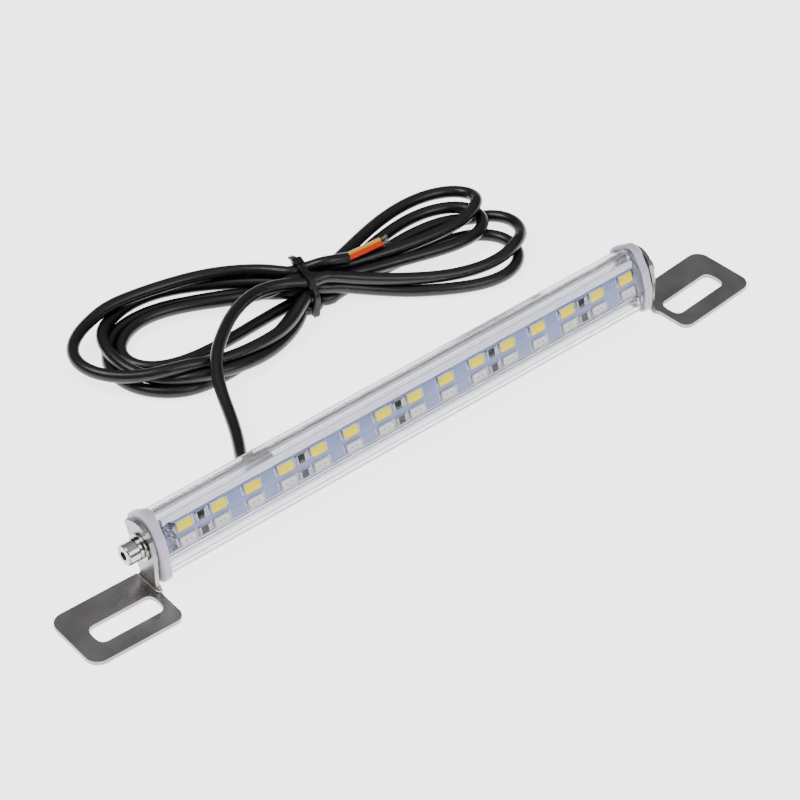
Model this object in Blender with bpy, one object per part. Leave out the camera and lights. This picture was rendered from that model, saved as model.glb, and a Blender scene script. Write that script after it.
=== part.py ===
"""Bolt-on two-colour LED light bar: a clear tube of LEDs that swivels between two bracket feet.

Units are metres. X runs along the bar, +Y is the side its cable leaves by and +Z is up. The
brackets' feet stand on z = 0, and the origin is under the middle of the bar and its brackets.
"""
from math import acos, asin, atan2, cos, pi, radians, sin, sqrt, tan

import bmesh
import bpy
from mathutils import Matrix, Vector

# Bar: the pivot axis runs along X, and the light face leans back from upright.
AXIS_Y = 0.0049
AXIS_Z = 0.0123
BAR_TILT = radians(20)
GAP = 0.0003                 # clearance left between pieces that touch

# Cross-section of the tube, measured from the pivot axis. "Front" is the light face's side.
SECTION_DROP = 0.0012        # the section's middle lies this far below the axis
TUBE_HALF_WIDTH = 0.0094
TUBE_FRONT = 0.0048
TUBE_BACK = 0.0069
TUBE_CROWN = 0.0200          # radius of the domed front
TUBE_FRONT_CORNER = 0.0026
TUBE_BACK_CORNER = 0.0030
SIDE_TAPER = radians(18)     # the section narrows toward its flat back
TUBE_WALL = 0.0012
TUBE_HALF_LENGTH = 0.0842
RAIL_THICKNESS = 0.0010
RAIL_HOLD = 0.0010           # how far a back rail reaches over the board's edge
FRONT_RAIL_DROP = 0.0020     # the front rails meet the wall lower down, on its rounded corner

# End caps: a cup over each tube end, with a boss for the pivot screw.
CAP_LIP = 0.0011             # how far the cap's edge stands outside the tube
CAP_INNER_X = 0.0833
CAP_OUTER_X = 0.0861
CAP_OUTER_ROUND = 0.0011
CAP_INNER_ROUND = 0.0004
CAP_POCKET_X = TUBE_HALF_LENGTH + GAP
BOSS_OUTER_X = 0.0865
BOSS_RADIUS = 0.0042

# Circuit board, LEDs and resistors.
BOARD_LEFT = -0.0815
BOARD_RIGHT = 0.0830
BOARD_TOP = 0.0047           # upper edge, above the axis
BOARD_BOTTOM = -0.0058       # lower edge
BOARD_Y = -0.0012            # its middle, in front of the axis
BOARD_THICKNESS = 0.0010
LED_COUNT = 15
LED_PITCH = 0.01105
LED_ROW_X = 0.0019           # middle of the rows
LED_SIZE = (0.0057, 0.0007, 0.0030)
SOLDER_GAP = 0.0001
WHITE_ROW_Z = 0.0011
RED_ROW_Z = -0.0034
RESISTOR_SIZE = (0.0034, 0.0005, 0.0023)
RESISTOR_AFTER_LED = (0, 3, 6, 9, 12)

# Brackets: stainless sheet cut flat, slotted, then bent up into an ear that holds the screw.
SHEET = 0.0012
BEND_RADIUS = 0.0005
EAR_OUTER_X = 0.0879
FOOT_LENGTH = 0.0273         # outboard of the bend
FOOT_WIDTH = 0.0208
LEFT_FOOT_FAR_Y = 0.0074     # each foot's edge on the cable's side
RIGHT_FOOT_FAR_Y = 0.0080
FOOT_CORNER = 0.0038
FOOT_INNER_CORNER = 0.0028
LEFT_FOOT_SPLAY = radians(1.4)
RIGHT_FOOT_SPLAY = radians(5.0)
SLOT_START = 0.0011
SLOT_END = 0.0217
SLOT_NEAR = 0.0155           # the slot's edges, from the foot's far edge
SLOT_FAR = 0.0086
SLOT_CORNER = 0.0020
SLOT_BULGE = 0.0006          # how far each end of the slot bows out
SLOT_END_ROUND = 0.0080
EAR_LEAN = radians(22)
EAR_TOP = 0.0072             # above the axis, along the leaning ear
EAR_BACK = 0.0045            # behind the axis
EAR_FRONT = 0.0049
EAR_FRONT_CORNER = 0.0052
EAR_BACK_CORNER = 0.0010
NECK_FRONT = 0.0055          # the neck's front edge, in front of the axis
NECK_FILLET = 0.0030         # between the neck's front edge and the foot
TOE = 0.0011                 # the foot's near end reaches inboard past the bend line
NECK_BACK_RISE = 0.0012      # the back edge stands upright this far above the bend
PIVOT_HOLE_RADIUS = 0.0021

# Pivot screws and washers.
SHAFT_RADIUS = 0.00175
SHAFT_TIP_X = 0.0843
HEAD_RADIUS = 0.0030
HEAD_HEIGHT = {"left": 0.0034, "right": 0.0009}    # the right head is a low one
HEX_RADIUS = 0.00145
HEX_DEPTH = {"left": 0.0019, "right": 0.0006}
WASHER_RADIUS = 0.0040
WASHER_THICKNESS = 0.0006
SPRING_RADIUS = 0.0031
SPRING_THICKNESS = {"left": 0.0010, "right": 0.0004}
WASHER_BORE = 0.00195
SEAT_GAP = 0.00015           # between clamped fixings
HEAD_RIM = 0.0006
INSERT_OUTER = 0.0026
INSERT_BORE = 0.0019

# Cable.
CABLE_RADIUS = 0.0018
CABLE_X = -0.0452            # where it leaves the back of the tube
GROMMET_NECK = 0.0024
GROMMET_FLANGE = 0.0038
GROMMET_FLANGE_THICKNESS = 0.0007
GROMMET_NOSE = 0.0024
GROMMET_HOLE = 0.0027        # the hole in the back wall
GROMMET_BARB = 0.0034        # widest part inside the wall         # its tip, behind the tube's back
HANK_HEIGHT = 0.0110
HANK_CLEARANCE = 0.0003      # above the surface the object stands on
TIE_X = 0.0149
TIE_Y = 0.0653
HANK_TURN = radians(-14)     # the hank's long axis, turned from X
TIE_WIDTH = 0.0024
TIE_THICKNESS = 0.0011
TIE_HALF_SPAN = 0.0066       # half the width of the bundle it goes round
TIE_OUTER_CORNER = 0.0020
TIE_INNER_CORNER = 0.0006
CORE_RADIUS = 0.00085
CORE_SPACING = 0.0014
TIE_HEAD = (0.0036, 0.0034, 0.0030)
TIE_TAIL = (0.0020, 0.0052, 0.0010)
TAIL_FALL = radians(-37)

ARC_STEP = radians(15)


def clear_scene():
    for old in list(bpy.data.objects):
        bpy.data.objects.remove(old, do_unlink=True)


def material(name, colour, roughness, metallic=0.0, alpha=1.0):
    made = bpy.data.materials.new(name)
    made.use_nodes = True
    shader = made.node_tree.nodes["Principled BSDF"]
    shader.inputs["Base Color"].default_value = (*colour, 1.0)
    shader.inputs["Roughness"].default_value = roughness
    shader.inputs["Metallic"].default_value = metallic
    shader.inputs["Alpha"].default_value = alpha
    return made


def add_object(name, bm, finish, parent=None, location=(0, 0, 0)):
    """Turn a bmesh into a named object with outward faces and smooth round sides."""
    bmesh.ops.remove_doubles(bm, verts=bm.verts, dist=1e-7)
    bmesh.ops.recalc_face_normals(bm, faces=bm.faces)
    mesh = bpy.data.meshes.new(name)
    bm.to_mesh(mesh)
    bm.free()
    mesh.shade_smooth()
    mesh.set_sharp_from_angle(angle=radians(30))
    made = bpy.data.objects.new(name, mesh)
    bpy.context.scene.collection.objects.link(made)
    if finish:
        made.data.materials.append(finish)
    made.location = location
    made.parent = parent
    return made


def as_cutter(made):
    made.hide_render = True
    made.display_type = "WIRE"
    return made


def boolean(target, other, operation):
    step = target.modifiers.new(operation.lower(), "BOOLEAN")
    step.operation = operation
    step.solver = "EXACT"
    step.object = as_cutter(other)


def arc(centre, radius, start, end):
    """Points on an arc from one angle to another, both ends included."""
    steps = max(2, round(abs(end - start) / ARC_STEP))
    return [
        (centre[0] + radius * cos(start + (end - start) * i / steps),
         centre[1] + radius * sin(start + (end - start) * i / steps))
        for i in range(steps + 1)
    ]


def rounded(corners):
    """An outline from (x, y, radius) corners, each with a fillet of its own radius."""
    points = []
    count = len(corners)
    for i, (x, y, radius) in enumerate(corners):
        here = Vector((x, y))
        before = (Vector(corners[i - 1][:2]) - here).normalized()
        after = (Vector(corners[(i + 1) % count][:2]) - here).normalized()
        if radius == 0:
            points.append((x, y))
            continue
        half = acos(max(-1, min(1, before.dot(after)))) / 2
        centre = here + (before + after).normalized() * radius / sin(half)
        first = here + before * radius / tan(half) - centre
        last = here + after * radius / tan(half) - centre
        start = atan2(first.y, first.x)
        sweep = (atan2(last.y, last.x) - start + pi) % (2 * pi) - pi
        points += arc(centre, radius, start, start + sweep)
    return points


def circle(radius, sides=24, centre=(0, 0)):
    return [
        (centre[0] + radius * cos(2 * pi * i / sides), centre[1] + radius * sin(2 * pi * i / sides))
        for i in range(sides)
    ]


def plate(loops, low, high, place):
    """A flat solid between two levels: the first loop is its outline and the rest are holes."""
    bm = bmesh.new()
    edges = []
    for loop in loops:
        verts = [bm.verts.new(place(a, b, low)) for a, b in loop]
        edges += [bm.edges.new((verts[i - 1], verts[i])) for i in range(len(verts))]
    bmesh.ops.triangle_fill(bm, edges=edges, use_beauty=True, use_dissolve=False)
    faces = list(bm.faces)
    grown = bmesh.ops.extrude_face_region(bm, geom=faces, use_keep_orig=True)
    shift = Vector(place(0, 0, high)) - Vector(place(0, 0, low))
    new_verts = [part for part in grown["geom"] if isinstance(part, bmesh.types.BMVert)]
    bmesh.ops.translate(bm, verts=new_verts, vec=shift)
    return bm


def across_x(a, b, level):
    """Outline in the bar's Y-Z plane, extruded along X."""
    return (level, a, b)


def on_floor(a, b, level):
    return (a, b, level)


def turned(profile, sides=24, start=0.0, sweep=2 * pi):
    """A solid turned about X from (x, radius) points; a part turn is closed with flat ends."""
    whole = abs(sweep - 2 * pi) < 1e-9
    bm = bmesh.new()
    rings = []
    for i in range(sides if whole else sides + 1):
        angle = start + sweep * i / sides
        rings.append([
            bm.verts.new((x, radius * cos(angle), radius * sin(angle))) for x, radius in profile
        ])
    count = len(profile)
    for i in range(sides):
        here = rings[i]
        after = rings[(i + 1) % len(rings)]
        for j in range(count):
            k = (j + 1) % count
            bm.faces.new((here[j], here[k], after[k], after[j]))
    if not whole:
        bm.faces.new(rings[0])
        bm.faces.new(list(reversed(rings[-1])))
    bmesh.ops.remove_doubles(bm, verts=bm.verts, dist=1e-8)
    bmesh.ops.dissolve_degenerate(bm, dist=1e-8, edges=bm.edges)
    return bm


def box(size, centre, bevel=0.0):
    bm = bmesh.new()
    bmesh.ops.create_cube(bm, size=1.0)
    bmesh.ops.scale(bm, vec=size, verts=bm.verts)
    bmesh.ops.translate(bm, vec=centre, verts=bm.verts)
    if bevel:
        bmesh.ops.bevel(bm, geom=list(bm.edges), offset=bevel, segments=1, affect="EDGES")
    return bm


def dome_outline(grow):
    """The tube's section, grown or shrunk all round: domed front, tapering sides, flat back."""
    middle_z = TUBE_HALF_WIDTH - TUBE_FRONT_CORNER
    crown_y = TUBE_CROWN - TUBE_FRONT
    reach = TUBE_CROWN - TUBE_FRONT_CORNER
    front_y = crown_y - sqrt(reach ** 2 - middle_z ** 2)
    lean = asin(middle_z / reach)
    back_y = TUBE_BACK - TUBE_BACK_CORNER
    step = TUBE_FRONT_CORNER - TUBE_BACK_CORNER
    back_z = middle_z - ((back_y - front_y) * sin(SIDE_TAPER) - step) / cos(SIDE_TAPER)
    crown = arc((crown_y, 0), TUBE_CROWN + grow, pi + lean, pi - lean)
    upper = arc((front_y, middle_z), TUBE_FRONT_CORNER + grow, pi - lean, pi / 2 - SIDE_TAPER)
    back = arc((back_y, back_z), TUBE_BACK_CORNER + grow, pi / 2 - SIDE_TAPER, 0)
    half = upper[1:] + back
    points = crown + half + [(y, -z) for y, z in reversed(half)]
    return [(y, z - SECTION_DROP) for y, z in points]


def make_tube(finish, frame):
    outline = dome_outline(0)
    bore = dome_outline(-TUBE_WALL)
    tube = add_object(
        "lens_tube", plate([outline, bore], -TUBE_HALF_LENGTH, TUBE_HALF_LENGTH, across_x),
        finish, frame)
    reach = TUBE_HALF_WIDTH - TUBE_WALL / 2
    front_reach = reach - FRONT_RAIL_DROP
    standoff = BOARD_THICKNESS / 2 + GAP + RAIL_THICKNESS / 2
    rails = (
        (BOARD_Y + standoff, BOARD_TOP - RAIL_HOLD, reach - SECTION_DROP),
        (BOARD_Y - standoff, BOARD_TOP - RAIL_HOLD / 2, front_reach - SECTION_DROP),
        (BOARD_Y + standoff, BOARD_BOTTOM + RAIL_HOLD, -reach - SECTION_DROP),
        (BOARD_Y - standoff, BOARD_BOTTOM + RAIL_HOLD / 2, -front_reach - SECTION_DROP),
    )
    for rail_y, inner, outer in rails:
        rail = add_object(
            "rail_stock",
            box((2 * CAP_INNER_X, RAIL_THICKNESS, abs(outer - inner)), (0, rail_y, (inner + outer) / 2)),
            None, frame)
        boolean(tube, rail, "UNION")
    hole = turned([(-0.002, 0), (-0.002, GROMMET_HOLE), (0.004, GROMMET_HOLE), (0.004, 0)], 20)
    bmesh.ops.rotate(hole, verts=hole.verts, cent=(0, 0, 0), matrix=turn_to_back())
    bmesh.ops.translate(hole, verts=hole.verts, vec=(CABLE_X, TUBE_BACK - 0.0007, 0))
    boolean(tube, add_object("cable_hole", hole, None, frame), "DIFFERENCE")


def turn_to_back():
    """Rotation that points a piece turned about X out of the bar's back."""
    return Matrix.Rotation(pi / 2, 3, "Z")


def make_board(finish, frame):
    size = (BOARD_RIGHT - BOARD_LEFT, BOARD_THICKNESS, BOARD_TOP - BOARD_BOTTOM)
    middle = ((BOARD_RIGHT + BOARD_LEFT) / 2, BOARD_Y, (BOARD_TOP + BOARD_BOTTOM) / 2)
    add_object("circuit_board", box(size, middle), finish, frame)


def surface_part(name, size, x, row_z, finish, frame, bevel):
    """A part soldered on the board's front face."""
    y = BOARD_Y - BOARD_THICKNESS / 2 - SOLDER_GAP - size[1] / 2
    add_object(name, box(size, (0, 0, 0), bevel), finish, frame, (x, y, row_z))


def led_x(index):
    return LED_ROW_X + (index - (LED_COUNT - 1) / 2) * LED_PITCH


def make_board_parts(finishes, frame):
    for i in range(LED_COUNT):
        number = f"{i + 1:02d}"
        surface_part(f"white_led_{number}", LED_SIZE, led_x(i), WHITE_ROW_Z, finishes["white"],
                     frame, 0.00015)
        surface_part(f"red_led_{number}", LED_SIZE, led_x(i), RED_ROW_Z, finishes["red"],
                     frame, 0.00015)
    for i, led in enumerate(RESISTOR_AFTER_LED):
        x = led_x(led) + LED_PITCH / 2
        surface_part(f"resistor_{i + 1:02d}", RESISTOR_SIZE, x, WHITE_ROW_Z, finishes["chip"],
                     frame, 0.0001)
        surface_part(f"resistor_{i + 6:02d}", RESISTOR_SIZE, x, RED_ROW_Z, finishes["chip"],
                     frame, 0.0001)


def mirrored(bm, side):
    """The same solid on the bar's left, for side -1, or on its right."""
    if side < 0:
        bmesh.ops.scale(bm, vec=(-1, 1, 1), verts=bm.verts)
        bmesh.ops.reverse_faces(bm, faces=bm.faces)
    return bm


def make_cap(side, word, finish, frame):
    flange = plate([dome_outline(CAP_LIP)], CAP_INNER_X, CAP_OUTER_X, across_x)
    bmesh.ops.recalc_face_normals(flange, faces=flange.faces)
    edges = ((CAP_OUTER_X, CAP_OUTER_ROUND, 3), (CAP_INNER_X, CAP_INNER_ROUND, 2))
    for level, rounding, segments in edges:
        rim = [
            edge for edge in flange.edges
            if all(abs(vert.co.x - level) < 1e-6 for vert in edge.verts)
            and abs(edge.link_faces[0].normal.dot(edge.link_faces[1].normal)) < 0.5
        ]
        bmesh.ops.bevel(flange, geom=rim, offset=rounding, segments=segments, profile=0.5,
                        affect="EDGES")
    cap = add_object(f"{word}_end_cap", mirrored(flange, side), finish, frame)
    pocket = plate([dome_outline(GAP)], CAP_INNER_X - 0.001, CAP_POCKET_X, across_x)
    boolean(cap, add_object(f"{word}_pocket", mirrored(pocket, side), None, frame), "DIFFERENCE")
    middle = (CAP_POCKET_X + CAP_OUTER_X) / 2
    boss = turned([
        (middle, 0), (middle, BOSS_RADIUS), (BOSS_OUTER_X, BOSS_RADIUS), (BOSS_OUTER_X, 0),
    ], 32)
    boolean(cap, add_object(f"{word}_boss", mirrored(boss, side), None, frame), "UNION")
    bore_radius = INSERT_OUTER + GAP / 2
    bore = turned([
        (CAP_INNER_X, 0), (CAP_INNER_X, bore_radius),
        (BOSS_OUTER_X + GAP, bore_radius), (BOSS_OUTER_X + GAP, 0),
    ], 24)
    boolean(cap, add_object(f"{word}_bore", mirrored(bore, side), None, frame), "DIFFERENCE")


def make_insert(side, word, finish, frame):
    low = CAP_POCKET_X + 0.0001
    high = BOSS_OUTER_X - 0.0001
    ring = turned([(low, INSERT_BORE), (low, INSERT_OUTER), (high, INSERT_OUTER), (high, INSERT_BORE)])
    add_object(f"{word}_threaded_insert", mirrored(ring, side), finish, frame)


def make_screw(side, word, finish, frame):
    """Cap-head screw, its washers and the spring washer, outboard of the ear."""
    washer_low = EAR_OUTER_X + SEAT_GAP
    spring_low = washer_low + WASHER_THICKNESS + SEAT_GAP
    head_low = spring_low + SPRING_THICKNESS[word] + SEAT_GAP
    head_high = head_low + HEAD_HEIGHT[word]
    rim = HEAD_RIM
    rim_arc = [
        (head_high - rim + y, HEAD_RADIUS - rim + x)
        for x, y in arc((0, 0), rim, 0, pi / 2)
    ]
    screw = turned(
        [(SHAFT_TIP_X, 0), (SHAFT_TIP_X, SHAFT_RADIUS), (head_low, SHAFT_RADIUS),
         (head_low, HEAD_RADIUS)] + rim_arc + [(head_high, 0)])
    made = add_object(f"{word}_pivot_screw", mirrored(screw, side), finish, frame)
    socket = turned([
        (head_high - HEX_DEPTH[word], 0), (head_high - HEX_DEPTH[word], HEX_RADIUS),
        (head_high + 0.001, HEX_RADIUS), (head_high + 0.001, 0),
    ], 6)
    boolean(made, add_object(f"{word}_socket", mirrored(socket, side), None, frame), "DIFFERENCE")
    washer_high = washer_low + WASHER_THICKNESS
    washer = turned([
        (washer_low, WASHER_BORE), (washer_low, WASHER_RADIUS),
        (washer_high, WASHER_RADIUS), (washer_high, WASHER_BORE),
    ])
    add_object(f"{word}_flat_washer", mirrored(washer, side), finish, frame)
    spring_high = spring_low + SPRING_THICKNESS[word]
    spring = turned([
        (spring_low, WASHER_BORE), (spring_low, SPRING_RADIUS),
        (spring_high, SPRING_RADIUS), (spring_high, WASHER_BORE),
    ], 24, radians(100), radians(346))
    add_object(f"{word}_spring_washer", mirrored(spring, side), finish, frame)


def to_upright(back, up, lean):
    """From a leaning piece's back and up to world Y and Z, both from the pivot axis."""
    return (back * cos(lean) + up * sin(lean), -back * sin(lean) + up * cos(lean))


def bracket_outline(splay, far_y, bend_line):
    """The flat blank: x is outboard of the bend line, y is world Y, and the ear is at -x."""
    def foot(out, near):
        return (out * cos(splay) + near * sin(splay), far_y + out * sin(splay) - near * cos(splay))

    def ear(y, z):
        return (bend_line - (AXIS_Z + z), AXIS_Y + y)

    inner_near = (far_y - AXIS_Y + NECK_FRONT) / cos(splay)
    back_top = to_upright(EAR_BACK, EAR_TOP, EAR_LEAN)
    front_top = to_upright(-EAR_FRONT, EAR_TOP, EAR_LEAN)
    shoulder_up = (EAR_FRONT * cos(EAR_LEAN) - NECK_FRONT) / sin(EAR_LEAN)
    shoulder = to_upright(-EAR_FRONT, shoulder_up, EAR_LEAN)
    neck_back_z = SHEET + BEND_RADIUS + NECK_BACK_RISE - AXIS_Z
    neck_back_y = (EAR_BACK + neck_back_z * sin(EAR_LEAN)) / cos(EAR_LEAN)
    return rounded([
        (*foot(0, 0), 0.0003),
        (*foot(FOOT_LENGTH, 0), FOOT_CORNER),
        (*foot(FOOT_LENGTH, FOOT_WIDTH), FOOT_CORNER),
        (*foot(-TOE, FOOT_WIDTH), FOOT_INNER_CORNER),
        (*foot(-TOE, inner_near), NECK_FILLET),
        (*ear(*shoulder), EAR_FRONT_CORNER),
        (*ear(*front_top), EAR_FRONT_CORNER),
        (*ear(*back_top), EAR_BACK_CORNER),
        (*ear(neck_back_y, neck_back_z), 0.0005),
    ])


def slot_outline(splay, far_y):
    middle = (SLOT_NEAR + SLOT_FAR) / 2
    bulge = SLOT_BULGE
    corners = [
        (SLOT_START + bulge, SLOT_FAR, SLOT_CORNER), (SLOT_END - bulge, SLOT_FAR, SLOT_CORNER),
        (SLOT_END, middle, SLOT_END_ROUND), (SLOT_END - bulge, SLOT_NEAR, SLOT_CORNER),
        (SLOT_START + bulge, SLOT_NEAR, SLOT_CORNER), (SLOT_START, middle, SLOT_END_ROUND),
    ]
    return [
        (x * cos(splay) + y * sin(splay), far_y + x * sin(splay) - y * cos(splay))
        for x, y in rounded(corners)
    ]


def score(bm, point, normal):
    """Split the blank's faces along a plane so that they can bend there."""
    geometry = list(bm.verts) + list(bm.edges) + list(bm.faces)
    bmesh.ops.bisect_plane(bm, geom=geometry, dist=1e-7, plane_co=point, plane_no=normal)


def make_bracket(side, word, splay, far_y, finish):
    """Cut the blank, score it across the bend, and fold the ear up from the foot."""
    neutral = BEND_RADIUS + SHEET / 2
    bend_length = neutral * pi / 2
    fold_height = SHEET + BEND_RADIUS
    bend_line = fold_height - bend_length
    foot_x = EAR_OUTER_X + BEND_RADIUS
    outline = bracket_outline(splay, far_y, bend_line)
    hole_centre = (bend_line - AXIS_Z, AXIS_Y)
    loops = [outline, slot_outline(splay, far_y), circle(PIVOT_HOLE_RADIUS, 24, hole_centre)]
    bm = plate(loops, 0, SHEET, on_floor)
    fold = bend_length / 6
    neck_y = AXIS_Y - NECK_FRONT
    for i in range(round((bend_length + TOE) / fold) + 1):
        score(bm, (-fold * i, 0, 0), (1, 0, 0))
    for i in range(6):
        score(bm, (0, neck_y - NECK_FILLET * i / 5, 0), (0, 1, 0))
    for vert in bm.verts:
        blank_x, y, level = vert.co
        part = max(0, min(1, (neck_y - y) / NECK_FILLET))
        shift = TOE * part * part * (3 - 2 * part)
        out = blank_x + shift
        radius = BEND_RADIUS + SHEET - level
        if out >= 0:
            x, z = foot_x + out, level
        elif out >= -bend_length:
            turn = -out / neutral
            x, z = foot_x - radius * sin(turn), fold_height - radius * cos(turn)
        else:
            x, z = foot_x - radius, fold_height - out - bend_length
        vert.co = (x - shift, y - AXIS_Y, z - AXIS_Z)
    bmesh.ops.translate(bm, verts=bm.verts, vec=(-EAR_OUTER_X, 0, 0))
    pivot = (side * EAR_OUTER_X, AXIS_Y, AXIS_Z)
    add_object(f"{word}_bracket", mirrored(bm, side), finish, None, pivot)


def make_grommet(finish, frame):
    """Rubber grommet snapped into the tube's back wall, with a short tapered nose."""
    wall_in = TUBE_BACK - TUBE_WALL
    inside = wall_in - 0.0002
    outside = TUBE_BACK + 0.0002
    flange = outside + GROMMET_FLANGE_THICKNESS
    profile = [
        (inside - 0.0010, 0), (inside - 0.0010, GROMMET_BARB - 0.0004), (inside, GROMMET_BARB), (inside, GROMMET_NECK),
        (outside, GROMMET_NECK), (outside, GROMMET_FLANGE), (flange, GROMMET_FLANGE),
        (flange + 0.0003, 0.0031), (TUBE_BACK + GROMMET_NOSE, 0.0025), (TUBE_BACK + GROMMET_NOSE, 0),
    ]
    bm = turned(profile, 20)
    bmesh.ops.rotate(bm, verts=bm.verts, cent=(0, 0, 0), matrix=turn_to_back())
    bmesh.ops.translate(bm, verts=bm.verts, vec=(CABLE_X, 0, 0))
    add_object("cable_grommet", bm, finish, frame)


def smooth_route(route, spacing):
    """Evenly spaced points along a smooth curve through the route's own points."""
    points = [Vector(p) for p in route]
    points = [2 * points[0] - points[1]] + points + [2 * points[-1] - points[-2]]
    dense = []
    for i in range(1, len(points) - 2):
        a, b, c, d = points[i - 1:i + 3]
        for step in range(20):
            t = step / 20
            dense.append(0.5 * (
                2 * b + (c - a) * t + (2 * a - 5 * b + 4 * c - d) * t ** 2
                + (3 * b - a - 3 * c + d) * t ** 3))
    dense.append(points[-2])
    lengths = [0.0]
    for before, after in zip(dense, dense[1:]):
        lengths.append(lengths[-1] + (after - before).length)
    count = max(2, round(lengths[-1] / spacing))
    result = []
    at = 0
    for i in range(count + 1):
        want = lengths[-1] * i / count
        while at < len(lengths) - 2 and lengths[at + 1] < want:
            at += 1
        part = (want - lengths[at]) / max(1e-9, lengths[at + 1] - lengths[at])
        result.append(dense[at].lerp(dense[at + 1], part))
    return result


def tube_along(name, points, radius, finish, resolution=2):
    data = bpy.data.curves.new(name, "CURVE")
    data.dimensions = "3D"
    data.bevel_depth = radius
    data.bevel_resolution = resolution
    data.use_fill_caps = True
    spline = data.splines.new("POLY")
    spline.points.add(len(points) - 1)
    for target, point in zip(spline.points, points):
        target.co = (*point, 1.0)
    made = bpy.data.objects.new(name, data)
    bpy.context.scene.collection.objects.link(made)
    data.materials.append(finish)
    return made


def bar_point(x, back, up):
    """World place of a point given in the leaning bar's own directions."""
    y, z = to_upright(back, up, BAR_TILT)
    return (x, AXIS_Y + y, AXIS_Z + z)


LEAD_STRAIGHT = 0.0040        # the lead leaves the grommet square to its nose

# The lead's route from there to the side of the hank.
LEAD_ROUTE = [
    (-0.0422, 0.0224, 0.0068),
    (-0.0384, 0.0290, 0.0066),
    (-0.0350, 0.0367, 0.0070),
    (-0.0322, 0.0441, 0.0074),
    (-0.0298, 0.0493, 0.0078),
]


def make_lead(finish):
    nose = TUBE_BACK + GROMMET_NOSE + GAP
    route = [bar_point(CABLE_X, nose, 0), bar_point(CABLE_X, nose + LEAD_STRAIGHT, 0)] + LEAD_ROUTE
    tube_along("cable_lead", smooth_route(route, 2.2 * CABLE_RADIUS), CABLE_RADIUS, finish)


def hank_outline():
    """Two long lobes, one each side of a narrow waist where the tie pulls the turns together."""
    left = [(-0.0045, -0.0065), (-0.0090, -0.0105), (-0.0240, -0.0175), (-0.0385, -0.0235),
            (-0.0485, -0.0235), (-0.0585, -0.0185), (-0.0665, -0.0100), (-0.0710, -0.0030),
            (-0.0710, 0.0040), (-0.0655, 0.0120), (-0.0590, 0.0170), (-0.0485, 0.0220),
            (-0.0375, 0.0215), (-0.0245, 0.0195), (-0.0125, 0.0125), (-0.0060, 0.0065)]
    right = [(0.0035, 0.0070), (0.0125, 0.0130), (0.0255, 0.0185), (0.0390, 0.0225),
             (0.0510, 0.0255), (0.0595, 0.0255), (0.0645, 0.0200), (0.0660, 0.0130),
             (0.0700, 0.0060), (0.0710, -0.0015), (0.0670, -0.0105), (0.0615, -0.0155),
             (0.0540, -0.0180), (0.0440, -0.0180), (0.0345, -0.0155), (0.0250, -0.0095),
             (0.0140, -0.0045), (0.0055, -0.0040)]
    corners = left + right
    points = []
    count = len(corners)
    for i in range(count):
        a, b, c, d = (Vector(corners[(i + k - 1) % count]) for k in range(4))
        for step in range(3):
            t = step / 3
            points.append(tuple(0.5 * (
                2 * b + (c - a) * t + (2 * a - 5 * b + 4 * c - d) * t ** 2
                + (3 * b - a - 3 * c + d) * t ** 3)))
    return points


def make_hank(finish):
    place = bpy.data.objects.new("hank_frame", None)
    bpy.context.scene.collection.objects.link(place)
    place.location = (TIE_X, TIE_Y, 0)
    place.rotation_euler = (0, 0, HANK_TURN)
    bm = plate([hank_outline()], HANK_CLEARANCE, HANK_HEIGHT, on_floor)
    hank = add_object("cable_hank", bm, finish, place)
    reach = TIE_THICKNESS + GAP
    notch = box((TIE_WIDTH + 0.0008, 0.0400, 2 * reach), (0, 0, HANK_CLEARANCE))
    boolean(hank, add_object("tie_notch", notch, None, place), "DIFFERENCE")
    return place


def make_tie(finish, place):
    """Nylon tie round the hank's waist, with its ratchet head and cut tail on top."""
    inner_half = TIE_HALF_SPAN + GAP
    low = HANK_CLEARANCE
    high = HANK_HEIGHT + GAP + TIE_THICKNESS
    outer = rounded([
        (-inner_half - TIE_THICKNESS, low, TIE_OUTER_CORNER), (inner_half + TIE_THICKNESS, low, TIE_OUTER_CORNER),
        (inner_half + TIE_THICKNESS, high, TIE_OUTER_CORNER), (-inner_half - TIE_THICKNESS, high, TIE_OUTER_CORNER),
    ])
    inner_low = low + TIE_THICKNESS
    inner_high = high - TIE_THICKNESS
    inner = rounded([
        (-inner_half, inner_low, TIE_INNER_CORNER), (inner_half, inner_low, TIE_INNER_CORNER),
        (inner_half, inner_high, TIE_INNER_CORNER), (-inner_half, inner_high, TIE_INNER_CORNER),
    ])
    half = TIE_WIDTH / 2
    tie = add_object("cable_tie", plate([outer, inner], -half, half, across_x), finish, place)
    head = box(TIE_HEAD, (0, inner_half, high + TIE_HEAD[2] / 4), 0.0005)
    boolean(tie, add_object("tie_head", head, None, place), "UNION")
    tail = box(TIE_TAIL, (0, TIE_TAIL[1] / 2, 0))
    bmesh.ops.rotate(tail, verts=tail.verts, cent=(0, 0, 0), matrix=Matrix.Rotation(TAIL_FALL, 3, "X"))
    tail_start = (0, inner_half, high)
    boolean(tie, add_object("tie_tail", tail, None, place, tail_start), "UNION")


def make_wire_ends(finish):
    """The three cores where the jacket is stripped, lying on the hank and joined at its end."""
    z = HANK_HEIGHT + GAP + CORE_RADIUS + 0.00005
    first = None
    for i, offset in enumerate((-CORE_SPACING, 0.0, CORE_SPACING)):
        route = [(0.0289, 0.0642 + offset * 0.8, z), (0.0360, 0.0649 + offset * 0.9, z),
                 (0.0437, 0.0652 + offset, z)]
        name = "wire_ends" if i == 0 else f"wire_core_{i}"
        core = tube_along(name, smooth_route(route, 2.4 * CORE_RADIUS), CORE_RADIUS, finish)
        mesh = bpy.data.meshes.new_from_object(core)
        bpy.data.objects.remove(core, do_unlink=True)
        solid = bpy.data.objects.new(name, mesh)
        bpy.context.scene.collection.objects.link(solid)
        if first is None:
            first = solid
        else:
            boolean(first, solid, "UNION")


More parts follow.
